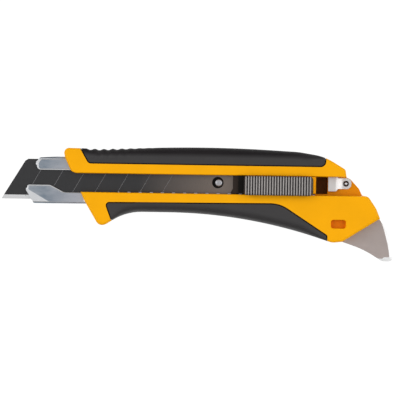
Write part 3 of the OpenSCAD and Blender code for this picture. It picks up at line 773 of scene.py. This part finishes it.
def blade_plan():
    """A long plate with a slanted tip whose upper corner is cut, and with both corners of its tail cut."""
    (x0, x1), (low, high) = BLADE_X, BLADE_Y
    corner = x0 + (high - low - TIP_DROP) / math.tan(math.radians(TIP_ANGLE))
    return rounded([
        (x0, low, 0), (corner, high - TIP_DROP, 0), (corner + TIP_CUT, high, 0), (x1 - TAIL_CUT_X, high, 0.5),
        (x1, high - TAIL_CUT_Y, 0.8), (x1, low + TAIL_CUT_Y, 0.8), (x1 - TAIL_CUT_X, low, 0.5),
    ])


def edge_wedge(side):
    """What the grinding takes off one face along the cutting edge."""
    low, face, out = BLADE_Y[0], BLADE_Z[side], 1 if side else -1
    section = [(low - 1, face + out), (low - 0.001, sum(BLADE_Z) / 2 + out * BLADE_KEEN),
               (low + BLADE_BEVEL, face), (low + BLADE_BEVEL, face + out)]
    return loft("wedge", [[(x, y, z) for y, z in section] for x in (BLADE_X[0] - 5, BLADE_X[1] + 5)])


def snap_groove(number):
    """A scored line across the upper face, where a segment snaps off."""
    low, high = BLADE_Y
    x, slant = BLADE_X[0] + number * SNAP_PITCH, 1 / math.tan(math.radians(SNAP_ANGLE))
    over, under = BLADE_Z[1] + 0.02, BLADE_Z[1] - SNAP_DEPTH
    ends = [(x - slant, low - 1), (x + slant * (high - low + 1), high + 1)]
    return loft("groove", [[(px - SNAP_HALF_W, py, over), (px, py, under), (px + SNAP_HALF_W, py, over)]
                           for px, py in ends])


def build_blade():
    """The blade, ground along its cutting edge and scored into segments, with a hole for the stud."""
    blade = prism("blade", blade_plan(), *BLADE_Z)
    cut(blade, edge_wedge(0), edge_wedge(1))
    for number in range(1, SNAP_COUNT + 1):
        cut(blade, snap_groove(number))
    cut(blade, disc(HOLE_X, HOLE_Y, HOLE_R, BLADE_Z[0] - 1, BLADE_Z[1] + 1))
    finish_surface(blade, angle=8)

    def tilted(face):
        return 0.3 < abs(face.normal.z) < 0.9999

    def ground(y, face):
        return y < BLADE_Y[0] + BLADE_BEVEL and face.area > 2 * MM * MM

    place(blade, "slide", blade_oxide, "blade_steel", "snap_off_blade")
    paint_faces(blade, ground_steel, lambda x, y, z, face: tilted(face) and ground(y, face))
    paint_faces(blade, scored_steel, lambda x, y, z, face: tilted(face) and not ground(y, face))


def build_stud():
    """A domed stud on a flange painted near black as the shade in the blade's hole round it."""
    base, top = STUD_Z
    flange = disc(HOLE_X, HOLE_Y, HOLE_R - 0.02, base, base + 0.3)
    flange.name = flange.data.name = "stud_flange_painted_shade"
    finish_surface(flange)
    # The flange's near black is painted shade
    place(flange, "slide", black_plastic_and_painted_shade, "fastener_steel", "blade_stud")
    profile = [(0.02, top), (1.0, top - 0.02), (1.35, top - 0.1), (1.56, top - 0.25), (1.63, top - 0.5),
               (1.63, base + 0.2), (0.02, base + 0.2)]
    stud = turned("domed_stud", STUD_X, STUD_Y, profile)
    finish_surface(stud, angle=50)
    place(stud, "slide", fastener_steel, "fastener_steel")


build_blade()
build_stud()


# ---- Thumb pad ------------------------------------------------------------

RIB_COUNT, RIB_PITCH, RIB_DEPTH, FIRST_RIB, RIB_SAMPLES = 25, 1.2, 0.8, 22.3, 12
# How far the pad's long edges, its corners and its ends roll, and how much narrower it is between ribs
PAD_SIDE, PAD_CORNER, PAD_END, VALLEY_IN = 0.85, 1.3, 0.9, 0.12


def pad_ring(x):
    """The pad's section: it is lower and narrower between two ribs, and at its ends."""
    (x0, x1), (y0, y1), (z0, z1) = PAD_X, PAD_Y, PAD_Z
    mid_y, half_y = (y0 + y1) / 2, (y1 - y0) / 2
    phase = (x - FIRST_RIB) / RIB_PITCH
    ribbed = -0.5 <= phase <= RIB_COUNT - 0.5
    crest = (0.5 + 0.5 * math.cos(2 * math.pi * phase)) if ribbed else 0.0
    end = min(x - x0, x1 - x)
    top = z1 - RIB_DEPTH * (1 - crest ** 0.7) - (1 - ramp(end, 0, PAD_END)) ** 2
    corner = PAD_CORNER * (1 - math.sqrt(1 - (1 - float(ramp(end, 0, PAD_CORNER))) ** 2))
    width = half_y - corner - VALLEY_IN * (1 - crest)
    angles = np.linspace(0, math.pi / 2, 5)
    ring = [(x, mid_y - width, z0)]
    for way, order in ((-1, angles), (1, np.linspace(math.pi / 2, 0, 5))):
        for t in order:
            y = mid_y + way * width - way * PAD_SIDE * (1 - math.cos(t))
            ring.append((x, y, top - PAD_SIDE + PAD_SIDE * math.sin(t)))
    return ring + [(x, mid_y + width, z0)]


def build_pad():
    """Ribs with round crests over a pad whose sides and ends roll down."""
    (x0, x1), half = PAD_X, RIB_SAMPLES / 2
    xs = [x0 + 0.02, x0 + 0.1]
    xs += [FIRST_RIB + (i + (k - half) / RIB_SAMPLES) * RIB_PITCH
           for i in range(RIB_COUNT) for k in range(RIB_SAMPLES)]
    xs += [x1 - 0.4, x1 - 0.15, x1 - 0.02]
    pad = loft("ribbed_pad", [pad_ring(x) for x in xs])
    finish_surface(pad, angle=50)
    place(pad, "thumb", pad_painted_light, "pad_rubber", "thumb_pad")


build_pad()


# ---- Springs --------------------------------------------------------------

STEM_X = (31.2, 37.2)
COIL_TURNS, COIL_STEPS, COIL_R, COIL_Y, WIRE_R = 5, 20, 1.05, -0.3, 0.17
LEAF_T, LEAF_GAP, LEAF_BEND, LEAF_WIDE_X = 0.4, 0.05, (30.3, 36.6), 30.2
LEAF_HOLE_X, LEAF_HOLE_Y, LEAF_HOLE_R = 41.4, -7.2, 0.72
# The ear and the ramps start a little inside the leaf
EAR_X, EAR_HALF, EAR_Y, EAR_RIM, ROOT_SUNK = 27.5, 0.9, (-6.3, -5.3), 0.12, 0.05
RAMP_SIDE, RAMP_Y = ((0.5, 0), (1.6, 1.04), (1.9, 1.04), (1.9, 0)), (-4.7, -3.3)


def build_coil(name, x):
    """A coil spring of round wire."""
    y, steps = COIL_Y, COIL_TURNS * COIL_STEPS
    rings = []
    for i in range(steps + 1):
        turn = 2 * math.pi * i / COIL_STEPS
        mid = x[0] + WIRE_R + (x[1] - x[0] - 2 * WIRE_R) * i / steps
        ring = []
        for b in np.linspace(0, 2 * math.pi, 8, endpoint=False):
            out = COIL_R + WIRE_R * math.cos(b)
            ring.append((mid + WIRE_R * math.sin(b), y + out * math.cos(turn), PIN_Z + out * math.sin(turn)))
        rings.append(ring)
    coil = loft(name, rings)
    finish_surface(coil, angle=60)
    paint(coil, fastener_steel)
    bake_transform(coil)
    return coil


def build_leaf():
    """The lock spring: a bent leaf with an ear and two ramps for the button's cam."""
    (x0, x1), (y0, y1) = LEAF_X, LEAF_Y
    low, ear_top = LEAF_Z[0], CHANNEL_Z[1] - 0.1
    high = CHANNEL_Z[1] - SHEET - LEAF_GAP - LEAF_T
    plan = rounded([(x0, y1, 0.3), (LEAF_WIDE_X, y1, 0.3), (LEAF_WIDE_X, -5.4, 0.5), (32, -5.7, 0.5),
                    (x1, -5.7, 0.5), (x1, y0, 0.5), (x0, y0, 0.3)])
    leaf = prism("lock_leaf", plan, 0, LEAF_T)
    cut(leaf, disc(LEAF_HOLE_X, LEAF_HOLE_Y, LEAF_HOLE_R, -1, 2))
    bend_down(leaf, high, low, *LEAF_BEND, cuts=np.arange(30.2, 36.9, 0.4))
    root = high + LEAF_T - ROOT_SUNK
    ear_plan = rounded([(EAR_X - EAR_HALF, EAR_Y[0], 0.2), (EAR_X - EAR_HALF, EAR_Y[1], 0.2),
                        (EAR_X + EAR_HALF, EAR_Y[1], 0.2), (EAR_X + EAR_HALF, EAR_Y[0], 0.2)])
    ear = prism("ear", ear_plan, root, ear_top, rims=(ear_top,), rim=-EAR_RIM)
    past_rim = box_cutter((0, 60), (-20, 0), (ear_top, ear_top + 5))
    cut(ear, past_rim)
    combine(leaf, ear, "UNION")
    for s in (-1, 1):
        side = [(EAR_X + s * a, root + b) for a, b in RAMP_SIDE]
        combine(leaf, loft("ramp", [[(x, y, z) for x, z in side] for y in RAMP_Y]), "UNION")
    finish_surface(leaf)
    place(leaf, "slide", spring_steel, "spring_steel", "lock_spring")
    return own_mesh(leaf)


def build_springs():
    """The lock spring, and the coils before and behind the button's stem, which stand for one CAD node."""
    front = build_coil("front_coil", (SPRINGS_X[0], STEM_X[0] - 0.1))
    build_coil("rear_coil", (STEM_X[1] + 0.1, SPRINGS_X[1]))
    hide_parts("thumb_springs")
    build_leaf()


build_springs()


# ---- Release clip ---------------------------------------------------------

CLIP_T, CLIP_EDGE, CLIP_NECK = 0.5, 0.12, 2.45
# The clip narrows from its head to its neck between these
SHOULDER_X = (62.9, 64.0)
CLIP_BEND = (62.6, 66.2)
CLIP_RIVET_X, CLIP_RIVET_HOLE = 67.5, 0.85


def build_clip():
    """A T-shaped leaf, bent up to its head."""
    head, neck, (wide_x, narrow_x) = CLIP_Y[1], CLIP_NECK, SHOULDER_X
    plan = rounded([
        (CLIP_X[0], head, 0.35), (wide_x, head, 0.5), (narrow_x, neck, 0.6), (CLIP_X[1], neck, 2.1),
        (CLIP_X[1], -neck, 2.1), (narrow_x, -neck, 0.6), (wide_x, -head, 0.5), (CLIP_X[0], -head, 0.35),
    ], step=9, flat=0.6)
    step = inward(plan)
    rings = []
    for top, angles in ((False, (0, 45, 90)), (True, (90, 45, 0))):
        for a in (math.radians(angle) for angle in angles):
            move, depth = CLIP_EDGE * (1 - math.sin(a)), CLIP_EDGE * (1 - math.cos(a))
            rings.append(ring_at(plan + step * move, CLIP_T - depth if top else depth))
    clip = loft("release_leaf", rings)
    cut(clip, disc(CLIP_RIVET_X, 0, CLIP_RIVET_HOLE, -1, 2))
    bend_down(clip, CLIP_Z[1] - CLIP_T, CLIP_Z[0], *CLIP_BEND, cuts=np.arange(62.0, 66.4, 0.3))
    finish_surface(clip, angle=40)
    paint(clip, clip_steel)
    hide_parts("release_clip")
    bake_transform(clip)


def build_rivet():
    """A rivet over the clip's foot, with a rolled rim and a ring sunk round its domed middle."""
    foot, top = RIVET_Z
    profile = [(0.02, top), (0.3, top - 0.03), (0.52, top - 0.12), (0.62, top - 0.25), (0.9, top - 0.25),
               (0.98, top - 0.08), (1.08, top), (1.2, top - 0.05), (1.3, top - 0.2), (1.28, top - 0.4),
               (0.8, top - 0.41), (0.8, foot), (0.02, foot)]
    rivet = turned("ringed_rivet", CLIP_RIVET_X, 0, profile, sides=40)
    finish_surface(rivet, angle=50)
    # Painted shade on the rivet's rim and sunk ring, and a painted highlight on its domed middle
    place(rivet, "handle", carrier_steel, "bright_steel", "clip_rivet")
    paint_faces(rivet, painted_highlight_steel, lambda x, y, z, face: math.hypot(x - CLIP_RIVET_X, y) < 0.6)


build_clip()
build_rivet()


# ---- CAD nodes that stay --------------------------------------------------

KEPT = {
    # The pick's plug carries painted shade
    "channel_rivets": fastener_steel, "pick_plug": plug_painted_shade,
    # The carrier plate is painted dark as the shade under the thumb
    "carrier_plate": carrier_steel, "slider_core": yellow,
    "core_rivets": fastener_steel, "lock_spring_rivet": fastener_steel,
    "thumb_button": black_plastic_and_painted_shade, "thumb_pin": fastener_steel,
}
EDGES = {"slider_core": 0.25, "thumb_button": 0.25, "carrier_plate": 0.1}
for name, material in KEPT.items():
    paint(nodes[name], material)
for name, width in EDGES.items():
    soften(nodes[name], width)


# ---- Floor, light and camera ----------------------------------------------

LAMP_SIZE = 0.9
# The floor's glow, and how far from the middle it starts and stops to fade, in metres
GLOW, GLOW_REACH = (0.96, 0.1), (0.14, 0.34)


def build_floor():
    """A floor that glows white round the knife and fades to grey far from it."""
    bm = bmesh.new()
    bmesh.ops.create_grid(bm, x_segments=1, y_segments=1, size=3.0)
    floor = add_object("floor", bm)
    floor.location.z = -0.2 * MM
    s = Shader("floor_white", roughness=0.9, Base_Color=(0.12, 0.12, 0.12, 1), Emission_Color=(1, 1, 1, 1))
    radius = s.node("ShaderNodeVectorMath", operation="LENGTH")
    s.link(s.point, radius.inputs[0])
    glow = s.scaled(radius.outputs["Value"], GLOW_REACH, GLOW)
    s.link(glow, s.bsdf.inputs["Emission Strength"])
    floor.data.materials.append(s.material)


def area_light(name, energy, position):
    """A soft square lamp that faces the knife."""
    light = bpy.data.lights.new(name, "AREA")
    light.energy, light.size = energy, LAMP_SIZE
    lamp = bpy.data.objects.new(name, light)
    lamp.location = position
    lamp.rotation_euler = (Vector((0, 0, 0)) - Vector(position)).to_track_quat("-Z", "Y").to_euler()
    bpy.context.scene.collection.objects.link(lamp)


def build_light():
    """A dim sky that is brightest overhead, and two soft lamps off the ends of the knife."""
    world = bpy.data.worlds.new("studio")
    bpy.context.scene.world = world
    world.use_nodes = True
    tree = world.node_tree
    background = tree.nodes["Background"]
    background.inputs["Color"].default_value = (1, 1, 1, 1)
    split = tree.nodes.new("ShaderNodeSeparateXYZ")
    height = tree.nodes.new("ShaderNodeMapRange")
    height.inputs["From Min"].default_value = 0.1
    height.inputs["To Min"].default_value = 0.06
    height.inputs["To Max"].default_value = 0.66
    tree.links.new(tree.nodes.new("ShaderNodeTexCoord").outputs["Generated"], split.inputs["Vector"])
    tree.links.new(split.outputs["Z"], height.inputs["Value"])
    tree.links.new(height.outputs["Result"], background.inputs["Strength"])
    area_light("left", 6.6, (-0.85, 0.15, 0.75))
    area_light("right", 5.5, (0.85, 0.05, 0.75))


# What the camera sees at the height of the handle's face: its width and centre in mm, its turn in degrees
VIEW_WIDTH, VIEW_X, VIEW_Y, VIEW_TURN = 179.2, 1.92, -8.35, 0.9


def build_camera():
    """A long lens that looks straight down on the knife, turned by about a degree."""
    camera = bpy.data.cameras.new("camera")
    camera.lens, camera.sensor_width = 250, 36
    camera.clip_start, camera.clip_end = 0.05, 20
    rig = bpy.data.objects.new("camera", camera)
    distance = VIEW_WIDTH * camera.lens / camera.sensor_width
    rig.location = (VIEW_X * MM, VIEW_Y * MM, (HANDLE_T + distance) * MM)
    rig.rotation_euler = (0, 0, math.radians(VIEW_TURN))
    bpy.context.scene.collection.objects.link(rig)
    bpy.context.scene.camera = rig


build_floor()
build_light()
build_camera()
scene = bpy.context.scene
scene.view_settings.view_transform = "Standard"
scene.view_settings.look = "None"
